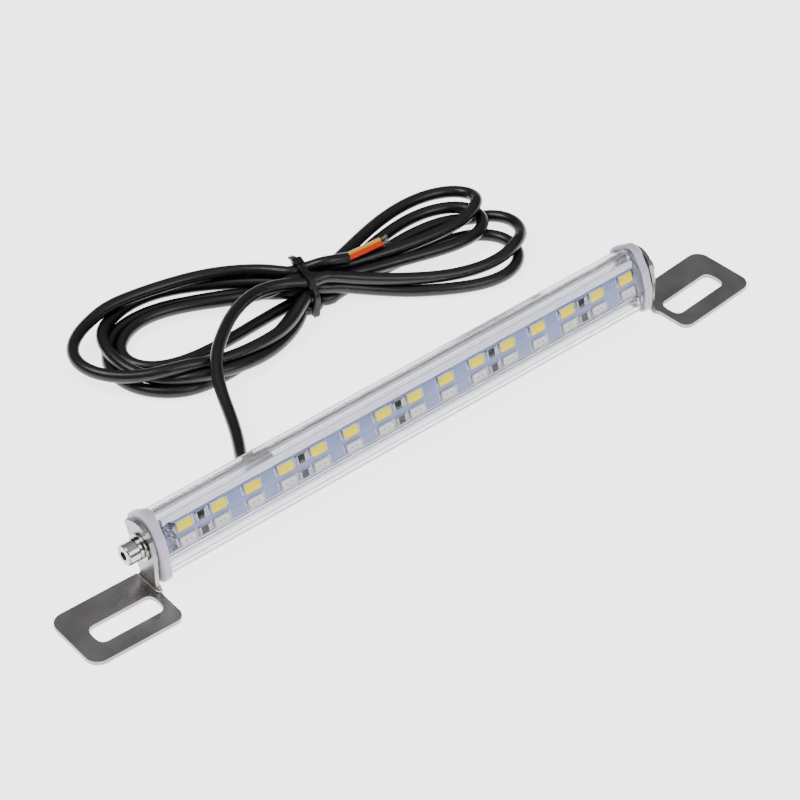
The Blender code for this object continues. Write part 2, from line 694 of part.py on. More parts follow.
def build():
    clear_scene()
    clear = material("clear_plastic", (0.93, 0.94, 0.96), 0.05, 0.0, 0.35)
    milky = material("milky_plastic", (0.66, 0.65, 0.71), 0.42)
    steel = material("brushed_steel", (0.42, 0.41, 0.40), 0.32, 1.0)
    bright = material("bright_steel", (0.62, 0.62, 0.61), 0.20, 1.0)
    brass = material("brass", (0.72, 0.55, 0.28), 0.30, 1.0)
    board = material("board_blue", (0.34, 0.45, 0.68), 0.45)
    chip = material("chip_black", (0.03, 0.03, 0.03), 0.50)
    yellow = material("led_yellow", (0.88, 0.76, 0.12), 0.40)
    cream = material("led_cream", (0.80, 0.78, 0.73), 0.35)
    jacket = material("cable_black", (0.02, 0.02, 0.022), 0.42)
    nylon = material("tie_black", (0.015, 0.015, 0.015), 0.38)
    core = material("core_yellow", (0.92, 0.62, 0.12), 0.40)

    frame = bpy.data.objects.new("bar_frame", None)
    bpy.context.scene.collection.objects.link(frame)
    frame.location = (0, AXIS_Y, AXIS_Z)
    frame.rotation_euler = (-BAR_TILT, 0, 0)

    make_tube(clear, frame)
    make_board(board, frame)
    make_board_parts({"white": yellow, "red": cream, "chip": chip}, frame)
    feet = (
        (-1, "left", LEFT_FOOT_SPLAY, LEFT_FOOT_FAR_Y),
        (1, "right", RIGHT_FOOT_SPLAY, RIGHT_FOOT_FAR_Y),
    )
    for side, word, splay, far_y in feet:
        make_cap(side, word, milky, frame)
        make_insert(side, word, brass, frame)
        make_screw(side, word, bright, frame)
        make_bracket(side, word, splay, far_y, steel)
    make_grommet(jacket, frame)
    make_lead(jacket)
    place = make_hank(jacket)
    make_tie(nylon, place)
    make_wire_ends(core)


build()
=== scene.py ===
from math import cos, radians, sin

import bmesh
import bpy
import numpy as np
from mathutils import Matrix, Vector


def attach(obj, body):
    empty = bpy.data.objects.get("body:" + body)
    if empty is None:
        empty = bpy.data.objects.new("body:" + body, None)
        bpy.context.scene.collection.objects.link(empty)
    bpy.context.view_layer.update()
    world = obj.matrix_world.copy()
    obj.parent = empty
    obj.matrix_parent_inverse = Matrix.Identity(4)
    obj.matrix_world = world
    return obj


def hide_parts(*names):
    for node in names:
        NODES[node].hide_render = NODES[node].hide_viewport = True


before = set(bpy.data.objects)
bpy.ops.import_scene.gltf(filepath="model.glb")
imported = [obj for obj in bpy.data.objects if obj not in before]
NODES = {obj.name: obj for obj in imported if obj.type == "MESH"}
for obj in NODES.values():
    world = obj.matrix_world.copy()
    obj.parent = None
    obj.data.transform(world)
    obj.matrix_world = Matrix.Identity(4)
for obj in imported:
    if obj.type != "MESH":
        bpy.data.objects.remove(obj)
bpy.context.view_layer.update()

BODY = "light_bar"
MM = 0.001
# The bar's own axes, from the pivot axis: X along it, Y to its back, Z up across the board.
BAR = Matrix.Translation((0, 4.9 * MM, 12.3 * MM)) @ Matrix.Rotation(radians(-20), 4, "X")


# ------------------------------------------------------------------ camera

CAMERA_PLACE = (-0.42055, -0.49294, 0.58306)
CAMERA_FORWARD = (0.48461, 0.57552, -0.65869)
CAMERA_LENS = 145.16
CAMERA_SENSOR = 36.0


def make_camera():
    data = bpy.data.cameras.new("camera")
    data.sensor_width = CAMERA_SENSOR
    data.lens = CAMERA_LENS
    data.clip_start = 0.01
    camera = bpy.data.objects.new("camera", data)
    bpy.context.scene.collection.objects.link(camera)
    camera.location = CAMERA_PLACE
    camera.rotation_euler = Vector(CAMERA_FORWARD).to_track_quat("-Z", "Y").to_euler()
    bpy.context.scene.camera = camera


make_camera()


# ------------------------------------------------------------------ cable route, in millimetres

CABLE_RADIUS = 1.8
TIE_POINT = (14.9, 65.3)         # middle of the tie
TIE_TURN = np.radians(-14.0)     # the bundle's direction at the tie, from +X
ALONG = np.array([np.cos(TIE_TURN), np.sin(TIE_TURN)])
ACROSS = np.array([-np.sin(TIE_TURN), np.cos(TIE_TURN)])
TIE_REACH = 24.0                 # how far from the tie the strands still ride high
TIE_GRIP = 3.5                   # how far to each side the tie presses the strands together
BUNDLE_HALF_WIDTH = 5.0          # of the strands' centres, inside the tie
BUNDLE_TOP = 9.3                 # the highest centre inside the tie

# Each lobe of the hank: length, heading in degrees, half width, fullness, sway and height.
# All but the heights come from a least-squares fit to the turns' outlines. Rows 2, 7 and 8 were
# then moved.
LOBES = (
    (69.5, -14.4, 13.8, 1.59, 0.24, 4.6),
    (62.5, 171.5, 17.3, 0.9, 0.03, 2.0),
    (65.3, -21.4, 14.6, 2.56, 0.24, 2.0),
    (57.7, 161.8, 13.7, 2.0, 0.4, 3.2),
    (61.5, 0.9, 11.7, 2.5, -0.62, 6.0),
    (61.2, 170.2, 18.9, 0.65, -0.36, 5.6),
    (63.8, 7.0, 10.3, 2.0, -0.7, 8.0),
    (71.4, 168.1, 14.9, 0.15, -0.18, 7.0),
)
LOBE_POINTS = 40
LOBE_TRIM = 0.045                # share of each end left out, where the tie takes over
LOBE_SPREAD = 1.3                # turns the half width into the curve's own factor
# Where each pass crosses the tie: across the bundle, and height.
PASSES = (
    (-0.3, 9.2), (-3.6, 2.1), (-1.7, 5.6), (0.1, 2.1), (1.8, 5.6), (3.8, 2.1), (4.9, 5.7),
    (-4.9, 5.6), (3.3, 9.2),
)
# Straight out of the grommet, then clear of the surface and over the left lobes to the tie.
NOSE = ((-45.2, 13.93, 9.0), (-45.2, 15.9, 8.3), (-45.2, 17.7, 7.6))
LEAD = (
    (-42.2, 22.4, 6.9), (-38.3, 29.2, 6.7), (-35.0, 36.7, 7.2), (-32.2, 44.1, 8.4), (-29.0, 50.3, 9.8),
    (-25.2, 55.0, 10.9), (-20.6, 58.4, 11.4), (-15.3, 62.4, 11.6), (-8.9, 66.1, 11.4),
    (-2.1, 68.2, 11.2), (4.6, 67.9, 10.6),
)
TAIL = ((20.5, 66.2, 9.9), (24.8, 64.9, 9.5), (29.0, 64.3, 9.4))

ROUTE_SPACING = 3.0              # between the points that are settled
CURVE_SPACING = 1.5              # between the finished curve's points
SPAN_STEPS = 12                  # dense points between two given ones, before they are evened out
ROUNDS = 260
STRAND_SPACING = 2 * CABLE_RADIUS + 0.06
LOWEST_CENTRE = CABLE_RADIUS + 0.1
FIRST_NEIGHBOUR = 5              # points nearer than this along the cable don't push each other
STRAIGHTEN = 0.5
KEEP_PLAN = 0.06                 # pull back toward the plan, seen from above
WEIGHT = 0.03                    # how far each round lowers a point
PUSH_APART = 0.4
LEAD_COUNT = 30                  # points in the lead, which its own stiffness holds up
LEAD_LIFT = 0.3
HANK_LIFT = 0.03


def lobe_points(lobe, far_first, first_height, last_height):
    """Points round one lobe, from the tie and back to it."""
    length, heading, half_width, fullness, sway, height = lobe
    t = np.linspace(LOBE_TRIM, 1 - LOBE_TRIM, LOBE_POINTS)
    x = length * (1 - np.cos(2 * np.pi * t)) / 2
    y = -LOBE_SPREAD * half_width * np.sin(2 * np.pi * t) * np.sin(np.pi * t) ** fullness
    y = y + 10 * sway * (x / length) ** 2
    turn = np.radians(heading)
    out = np.stack([TIE_POINT[0] + x * np.cos(turn) - y * np.sin(turn),
                    TIE_POINT[1] + x * np.sin(turn) + y * np.cos(turn)], 1)
    end = np.where(t < 0.5, first_height, last_height)
    z = height + (end - height) * np.exp(-(x / TIE_REACH) ** 2)
    return np.column_stack([out[::-1] if far_first else out, z])


def tie_point(across, height):
    return np.array([[*(np.array(TIE_POINT) + across * ACROSS), height]])


def catmull(points, spacing):
    """Evenly spaced points on a smooth curve through the given ones."""
    p = np.vstack([2 * points[0] - points[1], points, 2 * points[-1] - points[-2]])
    t = np.linspace(0, 1, SPAN_STEPS, endpoint=False)[:, None]
    dense = []
    for a, b, c, d in zip(p[:-3], p[1:-2], p[2:-1], p[3:]):
        dense.append(0.5 * (2 * b + (c - a) * t + (2 * a - 5 * b + 4 * c - d) * t ** 2
                            + (3 * b - a - 3 * c + d) * t ** 3))
    dense = np.vstack(dense + [points[-1:]])
    far = np.concatenate([[0], np.cumsum(np.linalg.norm(np.diff(dense, axis=0), axis=1))])
    want = np.linspace(0, far[-1], int(round(far[-1] / spacing)) + 1)
    return np.stack([np.interp(want, far, dense[:, k]) for k in range(3)], 1)


def part_strands(p, first, second):
    """Pushes every pair of points apart that would share space."""
    gap = p[first] - p[second]
    dist = np.sqrt((gap ** 2).sum(1))
    near = dist < STRAND_SPACING
    share = (STRAND_SPACING - dist[near]) / np.maximum(dist[near], 0.2) * PUSH_APART
    push = gap[near] * share[:, None]
    np.add.at(p, first[near], push)
    np.add.at(p, second[near], -push)


def grip_bundle(p):
    """Holds the strands inside the tie, and all of them above the surface."""
    offset = p[:, :2] - np.array(TIE_POINT)
    across = offset @ ACROSS
    inside = np.abs(offset @ ALONG) < TIE_GRIP
    wanted = np.clip(across, -BUNDLE_HALF_WIDTH, BUNDLE_HALF_WIDTH)
    p[inside, :2] += ((wanted - across)[inside])[:, None] * ACROSS
    p[inside, 2] = np.minimum(p[inside, 2], BUNDLE_TOP)
    p[:, 2] = np.maximum(p[:, 2], LOWEST_CENTRE)


def settle(plan, held, lift):
    """Lets the strands rest on each other and on the surface, keeping near their plan."""
    p = plan.copy()
    first, second = np.triu_indices(len(p), FIRST_NEIGHBOUR)
    for _ in range(ROUNDS):
        bend = np.zeros_like(p)
        bend[1:-1] = (p[:-2] + p[2:]) / 2 - p[1:-1]
        bend[2:-2] = 0.8 * bend[2:-2] - 0.2 * (bend[1:-3] + bend[3:-1])
        p += STRAIGHTEN * bend
        p[:, :2] += KEEP_PLAN * (plan[:, :2] - p[:, :2])
        p[:, 2] += lift * (plan[:, 2] - p[:, 2]) - WEIGHT
        for _ in range(2):
            part_strands(p, first, second)
            grip_bundle(p)
        p[held] = plan[held]
    return p


def cable_points():
    parts = [np.array(NOSE), np.array(LEAD), tie_point(*PASSES[0])]
    for i, lobe in enumerate(LOBES):
        parts.append(lobe_points(lobe, i % 2 == 1, PASSES[i][1], PASSES[i + 1][1]))
        parts.append(tie_point(*PASSES[i + 1]))
    parts.append(np.array(TAIL))
    plan = catmull(np.vstack(parts), ROUTE_SPACING)
    held = np.zeros(len(plan), bool)
    held[:len(NOSE)] = True
    lift = np.where(np.arange(len(plan)) < LEAD_COUNT, LEAD_LIFT, HANK_LIFT)
    return settle(plan, held, lift)


# ------------------------------------------------------------------ materials

def shader_of(material):
    return material.node_tree.nodes["Principled BSDF"]


def make_material(name, colour, roughness, metallic=0.0, **sockets):
    made = bpy.data.materials.new(name)
    made.use_nodes = True
    inputs = shader_of(made).inputs
    inputs["Base Color"].default_value = (*colour, 1.0)
    inputs["Roughness"].default_value = roughness
    inputs["Metallic"].default_value = metallic
    for socket, value in sockets.items():
        inputs[socket.replace("_", " ")].default_value = value
    return made


def noise(material, per_metre, detail=3.0):
    """A noise texture in the object's own space, with its frequency on each axis."""
    nodes = material.node_tree.nodes
    links = material.node_tree.links
    place = nodes.new("ShaderNodeTexCoord")
    mapping = nodes.new("ShaderNodeMapping")
    mapping.inputs["Scale"].default_value = per_metre
    texture = nodes.new("ShaderNodeTexNoise")
    texture.inputs["Scale"].default_value = 1.0
    texture.inputs["Detail"].default_value = detail
    links.new(place.outputs["Object"], mapping.inputs["Vector"])
    links.new(mapping.outputs["Vector"], texture.inputs["Vector"])
    return texture.outputs["Fac"]


def vary_roughness(material, per_metre, low, high):
    ramp = material.node_tree.nodes.new("ShaderNodeMapRange")
    ramp.inputs["From Min"].default_value = 0.3
    ramp.inputs["From Max"].default_value = 0.7
    ramp.inputs["To Min"].default_value = low
    ramp.inputs["To Max"].default_value = high
    links = material.node_tree.links
    links.new(noise(material, (per_metre,) * 3), ramp.inputs["Value"])
    links.new(ramp.outputs["Result"], shader_of(material).inputs["Roughness"])


def vary_colour(material, source, first, second):
    ramp = material.node_tree.nodes.new("ShaderNodeValToRGB")
    for element, position, colour in zip(ramp.color_ramp.elements, (0.32, 0.68), (first, second)):
        element.position = position
        element.color = (*colour, 1.0)
    links = material.node_tree.links
    links.new(source, ramp.inputs["Fac"])
    links.new(ramp.outputs["Color"], shader_of(material).inputs["Base Color"])


def add_bump(material, per_metre, distance, strength):
    bump = material.node_tree.nodes.new("ShaderNodeBump")
    bump.inputs["Distance"].default_value = distance
    bump.inputs["Strength"].default_value = strength
    links = material.node_tree.links
    links.new(noise(material, (per_metre,) * 3), bump.inputs["Height"])
    links.new(bump.outputs["Normal"], shader_of(material).inputs["Normal"])


def bar_axes(material):
    """The distances back and up across the bar's section, for the lens tube's material."""
    nodes = material.node_tree.nodes
    links = material.node_tree.links
    place = nodes.new("ShaderNodeTexCoord")
    mapping = nodes.new("ShaderNodeMapping")
    to_bar = BAR.inverted() @ NODES["lens_tube"].matrix_world
    mapping.inputs["Location"].default_value = to_bar.to_translation()
    mapping.inputs["Rotation"].default_value = to_bar.to_euler()
    split = nodes.new("ShaderNodeSeparateXYZ")
    links.new(place.outputs["Object"], mapping.inputs["Vector"])
    links.new(mapping.outputs["Vector"], split.inputs["Vector"])
    return split.outputs["Y"], split.outputs["Z"]


def ramp_across(material, distance, reach):
    """A colour ramp that runs from -reach to +reach millimetres along a distance."""
    nodes = material.node_tree.nodes
    links = material.node_tree.links
    span = nodes.new("ShaderNodeMapRange")
    span.inputs["From Min"].default_value = -reach * MM
    span.inputs["From Max"].default_value = reach * MM
    ramp = nodes.new("ShaderNodeValToRGB")
    links.new(distance, span.inputs["Value"])
    links.new(span.outputs["Result"], ramp.inputs["Fac"])
    return ramp


DEPTH_REACH = 8
HEIGHT_REACH = 10
DEPTH_STEPS = (-3.3, -2.0, 3.0, 4.5)     # end of the front, the sides' two ends, start of the back
CLEAR = 0.975
# Each painted dark streak along the wall, standing in for the shade the tube's curved wall refracts
# and reflects: its height, half its width, and its shade, where 0 is black.
PAINTED_WALL_STREAKS = (
    (-5.75, 0.14, 0.45), (-4.75, 0.14, 0.50), (6.7, 0.12, 0.55), (7.6, 0.20, 0.35), (8.65, 0.16, 0.42),
)


def dress_tube(material):
    """Clear in front, frosted behind the board, with faint dark streaks painted into its colour as
    refracted and reflected shade.
    """
    links = material.node_tree.links
    inputs = shader_of(material).inputs
    back, up = bar_axes(material)
    for socket, front_value, side_value, back_value in (
            ("Roughness", 0.02, 0.09, 0.50),
            ("Transmission Weight", 1.0, 0.93, 0.78)):
        steps = ramp_across(material, back, DEPTH_REACH)
        for _ in range(2):
            steps.color_ramp.elements.new(0.5)
        values = (front_value, side_value, side_value, back_value)
        for stop, distance, value in zip(steps.color_ramp.elements, DEPTH_STEPS, values):
            stop.position = (distance + DEPTH_REACH) / (2 * DEPTH_REACH)
            stop.color = (value, value, value, 1)
        links.new(steps.outputs["Color"], inputs[socket])

    # Painted shade: darker bands in the tube's base colour where its curved wall refracts and reflects
    # shade.
    lines = ramp_across(material, up, HEIGHT_REACH)
    for stop in lines.color_ramp.elements:
        stop.color = (CLEAR, CLEAR, 0.99, 1)
    for height, half, shade in PAINTED_WALL_STREAKS:
        edges = ((-half * 1.8, 0.97), (-half * 0.6, shade), (half * 0.6, shade), (half * 1.8, 0.97))
        for offset, value in edges:
            stop = lines.color_ramp.elements.new((height + offset + HEIGHT_REACH) / (2 * HEIGHT_REACH))
            stop.color = (value, value, min(1.0, value * 1.05), 1)
    links.new(lines.outputs["Color"], inputs["Base Color"])


# Each material's key, name, colour, roughness and metallic value, and any other shader sockets.
MATERIALS = (
    ("clear", "clear_plastic", (0.97, 0.97, 0.99), 0.02, 0.0,
     {"Transmission_Weight": 1.0, "IOR": 1.45, "Specular_Tint": (0.3, 0.3, 0.3, 1)}),
    ("steel", "satin_steel", (0.25, 0.243, 0.235), 0.28, 1.0, {}),
    ("bright", "bright_steel", (0.42, 0.41, 0.40), 0.16, 1.0, {}),
    ("brass", "brass", (0.70, 0.52, 0.26), 0.28, 1.0, {}),
    ("milky", "milky_plastic", (0.46, 0.43, 0.52), 0.36, 0.0,
     {"Subsurface_Weight": 0.35, "Subsurface_Scale": 0.002, "Specular_IOR_Level": 0.4,
      "Subsurface_Radius": (1, 1, 1)}),
    ("board", "board_blue", (0.27, 0.34, 0.60), 0.42, 0.0, {"Specular_IOR_Level": 0.2}),
    ("trace", "board_trace", (0.30, 0.37, 0.64), 0.36, 0.0, {}),
    # The white print's colour is real; its emission is a painted glow that makes it brighter than the
    # light does.
    ("silk", "board_white_painted_glow", (0.84, 0.84, 0.97), 0.45, 0.0,
     {"Emission_Strength": 0.5, "Emission_Color": (0.9, 0.9, 1.0, 1)}),
    # Painted shade: a dark strip standing in for the shadow along the board's lower edge by the rail.
    ("painted_rail_shade", "board_painted_rail_shade", (0.10, 0.095, 0.13), 0.5, 0.0, {}),
    ("joint", "solder_joint", (0.15, 0.15, 0.155), 0.18, 1.0, {}),
    ("sealant", "white_sealant", (0.86, 0.86, 0.88), 0.5, 0.0,
     {"Subsurface_Weight": 0.5, "Subsurface_Scale": 0.003}),
    ("tin", "solder", (0.30, 0.30, 0.31), 0.20, 1.0, {}),
    ("terminal", "led_terminal", (0.30, 0.30, 0.32), 0.30, 1.0, {}),
    ("chip", "resistor_body", (0.028, 0.028, 0.030), 0.45, 0.0, {"Specular_IOR_Level": 0.2}),
    ("ceramic", "resistor_ceramic", (0.75, 0.75, 0.73), 0.5, 0.0, {}),
    ("led_body", "led_body", (0.72, 0.70, 0.68), 0.42, 0.0,
     {"Subsurface_Weight": 0.1, "Subsurface_Scale": 0.0005}),
    # The yellow phosphor colour is real; its emission is a painted glow that brightens the window.
    ("phosphor", "led_phosphor_painted_glow", (0.92, 0.74, 0.002), 0.40, 0.0,
     {"Specular_IOR_Level": 0.08, "Emission_Strength": 0.45, "Emission_Color": (1.0, 0.80, 0.0, 1)}),
    ("gel", "led_clear_gel", (0.60, 0.59, 0.56), 0.22, 0.0, {}),
    ("die", "led_die", (0.20, 0.17, 0.15), 0.3, 0.0, {}),
    ("jacket", "cable_jacket", (0.0034, 0.0034, 0.0036), 0.31, 0.0, {"Specular_IOR_Level": 0.36}),
    ("nylon", "tie_nylon", (0.004, 0.004, 0.004), 0.40, 0.0, {"Specular_IOR_Level": 0.25}),
    ("rubber", "grommet_rubber", (0.014, 0.014, 0.014), 0.55, 0.0, {}),
    ("yellow", "core_yellow", (0.85, 0.36, 0.0), 0.36, 0.0, {}),
    ("red", "core_red", (0.60, 0.022, 0.0), 0.36, 0.0, {}),
    ("black", "core_black", (0.02, 0.02, 0.02), 0.34, 0.0, {}),
)
# Roughness that varies over a surface: how fine per metre, lowest and highest.
ROUGHNESS = (
    ("steel", 260, 0.25, 0.31), ("bright", 4000, 0.10, 0.18), ("brass", 3000, 0.20, 0.36),
    ("milky", 900, 0.30, 0.44), ("trace", 400, 0.30, 0.42), ("terminal", 3000, 0.25, 0.4),
    ("chip", 3000, 0.38, 0.55), ("jacket", 700, 0.27, 0.36), ("nylon", 1200, 0.30, 0.44),
    ("rubber", 1200, 0.48, 0.62), ("yellow", 1500, 0.26, 0.40), ("red", 1500, 0.26, 0.40),
)
# Colour that varies: how fine per metre on each axis, detail, and the two colours.
COLOURS = (
    ("steel", (110, 110, 110), 4.0, (0.24, 0.233, 0.225), (0.33, 0.321, 0.311)),
    ("board", (160, 160, 160), 3.0, (0.255, 0.325, 0.58), (0.285, 0.355, 0.62)),
    ("phosphor", (1500, 1500, 1500), 3.0, (0.88, 0.71, 0.002), (0.95, 0.77, 0.004)),
    ("gel", (700, 700, 1500), 3.0, (0.78, 0.75, 0.72), (0.97, 0.95, 0.92)),
)
# Relief: how fine per metre, depth in metres, strength.
RELIEF = (
    ("joint", 900, 0.0002, 0.8), ("sealant", 500, 0.0002, 0.5), ("tin", 2500, 0.00006, 0.6),
    ("jacket", 1600, 0.00002, 0.35),
)


def make_materials():
    made = {}
    for key, name, colour, roughness, metallic, sockets in MATERIALS:
        made[key] = make_material(name, colour, roughness, metallic, **sockets)
    for key, per_metre, detail, first, second in COLOURS:
        vary_colour(made[key], noise(made[key], per_metre, detail), first, second)
    for key, per_metre, low, high in ROUGHNESS:
        vary_roughness(made[key], per_metre, low, high)
    for key, per_metre, distance, strength in RELIEF:
        add_bump(made[key], per_metre, distance, strength)
    dress_tube(made["clear"])
    return made


M = make_materials()


# ------------------------------------------------------------------ building helpers

def to_mesh(name, bm, materials, smooth=None):
    """A mesh from a bmesh, with its round sides smoothed up to an angle in degrees."""
    bmesh.ops.recalc_face_normals(bm, faces=bm.faces)
    mesh = bpy.data.meshes.new(name)
    bm.to_mesh(mesh)
    bm.free()
    if smooth:
        mesh.shade_smooth()
        mesh.set_sharp_from_angle(angle=radians(smooth))
    for material in materials:
        mesh.materials.append(material)
    return mesh


def add_piece(name, data, matrix=None):
    """An object on the bar's body, from a mesh or a curve."""
    made = bpy.data.objects.new(name, data)
    bpy.context.scene.collection.objects.link(made)
    if matrix is not None:
        made.matrix_world = matrix
    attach(made, BODY)
    return made


def show(name, bm, materials, matrix, smooth=30):
    return add_piece(name, to_mesh(name, bm, materials, smooth), matrix)


def soften(made, width, segments=2):
    step = made.modifiers.new("soft_edges", "BEVEL")
    step.width = width
    step.segments = segments
    step.limit_method = "ANGLE"
    step.angle_limit = radians(35)


def add_box(bm, size, centre, material=0, bevel=0.0):
    """A box in millimetres, added to a bmesh."""
    before = set(bm.faces)
    made = bmesh.ops.create_cube(bm, size=1.0)
    bmesh.ops.scale(bm, vec=Vector(size) * MM, verts=made["verts"])
    bmesh.ops.translate(bm, vec=Vector(centre) * MM, verts=made["verts"])
    if bevel:
        edges = list({edge for vert in made["verts"] for edge in vert.link_edges})
        bmesh.ops.bevel(bm, geom=edges, offset=bevel * MM, segments=2, profile=0.5, affect="EDGES")
    for face in set(bm.faces) - before:
        face.material_index = material


def add_dome(bm, radius, height, centre):
    """A flattened ball in millimetres, its height along the bar's front to back."""
    made = bmesh.ops.create_uvsphere(bm, u_segments=20, v_segments=12, radius=radius * MM)
    bmesh.ops.scale(bm, vec=(1, height / radius, 1), verts=made["verts"])
    bmesh.ops.translate(bm, vec=Vector(centre) * MM, verts=made["verts"])


def add_tubes(name, routes, radius, material, resolution):
    """Round wires in one curve, each along its points in millimetres."""
    data = bpy.data.curves.new(name, "CURVE")
    data.dimensions = "3D"
    data.bevel_depth = radius * MM
    data.bevel_resolution = resolution
    data.use_fill_caps = True
    for points in routes:
        spline = data.splines.new("POLY")
        spline.points.add(len(points) - 1)
        for target, point in zip(spline.points, points):
            target.co = (point[0] * MM, point[1] * MM, point[2] * MM, 1.0)
        spline.use_smooth = True
    data.materials.append(material)
    return add_piece(name, data)


# ------------------------------------------------------------------ cable, tie and stripped cores

def make_cable():
    settled = cable_points()
    smooth = catmull(settled, CURVE_SPACING)
    cable = add_tubes("power_cable", [smooth], CABLE_RADIUS, M["jacket"], 7)
    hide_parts("cable_lead", "cable_hank")
    pieces = make_tie(settled) + make_cores(settled[-1], settled[-1] - settled[-2])


def cross(a, b, c):
    return (b[0] - a[0]) * (c[1] - a[1]) - (b[1] - a[1]) * (c[0] - a[0])


def hull(points):
    """The outline round a set of 2-D points."""
    points = sorted(map(tuple, points))
    chains = []
    for order in (points, points[::-1]):
        chain = []
        for point in order:
            while len(chain) > 1 and cross(chain[-2], chain[-1], point) <= 0:
                chain.pop()
            chain.append(point)
        chains.append(chain[:-1])
    return np.array(chains[0] + chains[1])


def radius_at(outline, middle, way):
    """How far an outline lies from its middle, in one direction."""
    best = 0.0
    for a, b in zip(outline, np.roll(outline, -1, axis=0)):
        edge = b - a
        below = way[0] * edge[1] - way[1] * edge[0]
        if abs(below) > 1e-9:
            reach = ((a - middle)[0] * edge[1] - (a - middle)[1] * edge[0]) / below
            share = ((a - middle)[0] * way[1] - (a - middle)[1] * way[0]) / below
            if -1e-6 <= share <= 1 + 1e-6:
                best = max(best, reach)
    return best


BAND_INNER = CABLE_RADIUS + 0.08     # from a strand's centre to the band's inside
BAND_OUTER = CABLE_RADIUS + 1.1
BAND_LOWEST = 0.05
BAND_REACH = 2.2                     # strands this near the tie's middle shape the band
# The band's section: along the bundle, and the share of the way from inside to outside.
BAND_SECTION = ((-1.1, 0.0), (-1.1 + 0.35, 1.0), (1.1 - 0.35, 1.0), (1.1, 0.0))
BAND_RAYS = 72
BAND_BEVEL = 0.00012
TAIL_TEETH = 4


def make_tie(settled):
    """A nylon tie pulled tight round the bundle, with its head on the far side and a cut tail."""
    offset = settled[:, :2] - np.array(TIE_POINT)
    inside = np.abs(offset @ ALONG) < BAND_REACH
    centres = np.stack([(offset @ ACROSS)[inside], settled[inside, 2]], 1)
    angles = np.linspace(0, 2 * np.pi, 24, endpoint=False)
    ring = np.stack([np.cos(angles), np.sin(angles)], 1)
    inner = hull((centres[:, None] + BAND_INNER * ring[None]).reshape(-1, 2))
    outer = hull((centres[:, None] + BAND_OUTER * ring[None]).reshape(-1, 2))
    outer[:, 1] = np.maximum(outer[:, 1], BAND_LOWEST)
    middle = inner.mean(0)

    bm = bmesh.new()
    rings = []
    for angle in np.linspace(0, 2 * np.pi, BAND_RAYS, endpoint=False):
        way = np.array([np.cos(angle), np.sin(angle)])
        near = radius_at(inner, middle, way)
        far = radius_at(outer, middle, way)
        row = []
        for side, depth in BAND_SECTION:
            v, z = middle + way * (near + (far - near) * depth)
            row.append(bm.verts.new((side * MM, v * MM, z * MM)))
        rings.append(row)
    for here, after in zip(rings, rings[1:] + rings[:1]):
        for k in range(4):
            bm.faces.new((here[k], here[(k + 1) % 4], after[(k + 1) % 4], after[k]))
    place = (Matrix.Translation((TIE_POINT[0] * MM, TIE_POINT[1] * MM, 0))
             @ Matrix.Rotation(TIE_TURN, 4, "Z"))
    band = show("tie_band", bm, [M["nylon"]], place, smooth=45)
    soften(band, BAND_BEVEL)
    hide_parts("cable_tie")

    top = centres[:, 1].max() + BAND_OUTER
    edge = inner[:, 0].max()
    bm = bmesh.new()
    add_box(bm, (3.3, 3.0, 2.2), (0, edge - 1.0, top - 1.2), 0, 0.6)
    add_box(bm, (2.0, 0.9, 0.5), (0, edge - 2.4, top - 0.2), 0, 0.2)
    head = show("tie_head", bm, [M["nylon"]], place, smooth=40)
    bm = bmesh.new()
    for i in range(TAIL_TEETH):
        add_box(bm, (1.9, 1.15, 0.8 - 0.2 * (i % 2)), (0, 0.6 + i * 1.0, 0), 0, 0.12)
    fall = Matrix.Translation((0, edge * MM, (top - 1.3) * MM)) @ Matrix.Rotation(radians(-20), 4, "X")
    tail = show("tie_tail", bm, [M["nylon"]], place @ fall, smooth=40)
    return [band, head, tail]


CORE_RADIUS = 0.72
CORE_BURIED = 0.6                    # how far each core starts inside the jacket
# Each core: its name, where it starts across and up from the jacket's middle, and its tip.
CORES = (
    ("yellow", 0.72, 0.42, (41.4, 64.8, 9.9)),
    ("red", -0.72, 0.30, (41.0, 63.3, 9.7)),
    ("black", 0.0, -0.80, (40.2, 64.2, 8.6)),
)
STRAND_RADIUS = 0.12
OUTER_STRANDS = 6                    # round one in the middle
STRAND_CIRCLE = 0.28


def unit(vector):
    return vector / np.linalg.norm(vector)


def core_strands(tip, way):
    """The tinned strands at a core's tip, which flare a little toward their ends."""
    out = np.cross(way, (0, 0, 1.0))
    up = np.cross(out, way)
    strands = []
    for k in range(OUTER_STRANDS + 1):
        angle = 2 * np.pi * k / OUTER_STRANDS
        spread = 0.0 if k == OUTER_STRANDS else STRAND_CIRCLE
        offset = out * np.cos(angle) + up * np.sin(angle)
        flare = 1.0 + 1.6 * ((k * 5) % 7) / 7
        reach = 2.3 + 0.25 * (k % 3)
        strands.append(catmull(np.array([
            tip - way * 0.4 + offset * spread,
            tip + way * 1.0 + offset * spread * 1.2,
            tip + way * reach + offset * spread * flare * 1.3,
        ]), 0.3))
    return strands


def make_cores(start, heading):
    """Three stripped cores with tinned strands, coming out of the cut end of the jacket."""
    way = unit(heading)
    side = unit(np.cross((0, 0, 1.0), way))
    up = np.cross(way, side)
    made = []
    for name, across, lift, tip in CORES:
        first = start - way * CORE_BURIED + side * across + up * lift
        tip = np.array(tip)
        route = catmull(np.array([first, (first + tip) / 2, tip]), 0.7)
        core = add_tubes(f"core_{name}", [route], CORE_RADIUS, M[name], 5)
        if name == "yellow":
            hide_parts("wire_ends")
        strands = core_strands(route[-1], unit(route[-1] - route[-2]))
        made += [core, add_tubes(f"strands_{name}", strands, STRAND_RADIUS, M["tin"], 2)]
    return made


make_cable()


# ------------------------------------------------------------------ board, LEDs and resistors

LED_COUNT = 15
PITCH = 11.05
ROW_X = 1.9                          # middle of the rows
WHITE_Z = 1.1
RED_Z = -3.4
BOARD_FRONT = -1.7
RESISTOR_AFTER_LED = (0, 3, 6, 9, 12)

